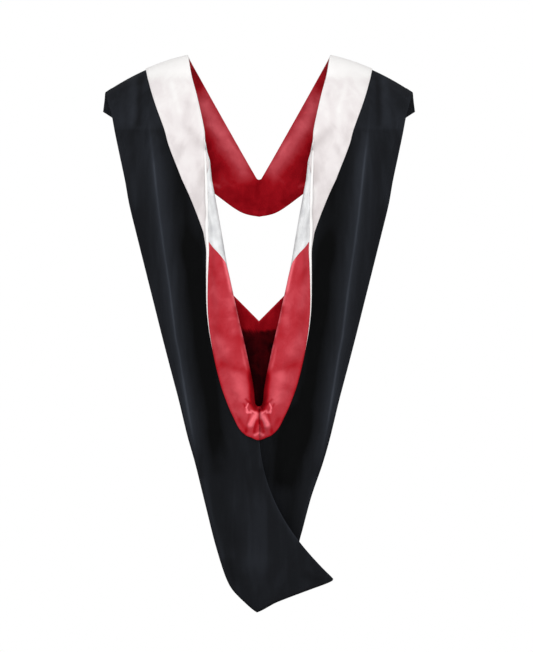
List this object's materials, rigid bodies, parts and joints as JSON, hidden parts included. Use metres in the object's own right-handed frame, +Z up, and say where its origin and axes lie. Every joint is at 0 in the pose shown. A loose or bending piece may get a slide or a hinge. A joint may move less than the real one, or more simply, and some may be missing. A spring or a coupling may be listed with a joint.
{
  "type": "academic hood",
  "caption": "Academic hood as worn, with a deep cowl at the back, a turned-out satin-lined collar, pale trim and a lapped black tail.",
  "frame": {"origin": "midway between the two points where the neck edge crosses the crest of the shoulders", "axes": "+Z up, +Y to the wearer's front, -X to the wearer's left; the picture looks along +Y at the wearer's back"},
  "size_m": [0.5172, 0.2853, 0.9195],
  "materials": {
    "black_cloth": "smooth with a faint sheen",
    "red_satin": "satin",
    "silver_satin": "satin",
    "white_velvet": "matt pile",
    "white_cord": "matt"
  },
  "bodies": {
    "root": {"shell_left": "black_cloth", "shell_right": "black_cloth", "shell_back": "black_cloth", "lining_front_left": "red_satin", "lining_front_right": "red_satin", "chevron_left": "silver_satin", "chevron_right": "silver_satin", "lining_left": "red_satin", "lining_right": "red_satin", "lining_back": "red_satin", "trim_left": "white_velvet", "trim_right": "white_velvet", "piping_left": "white_cord", "piping_right": "white_cord"}
  },
  "joints": []
}
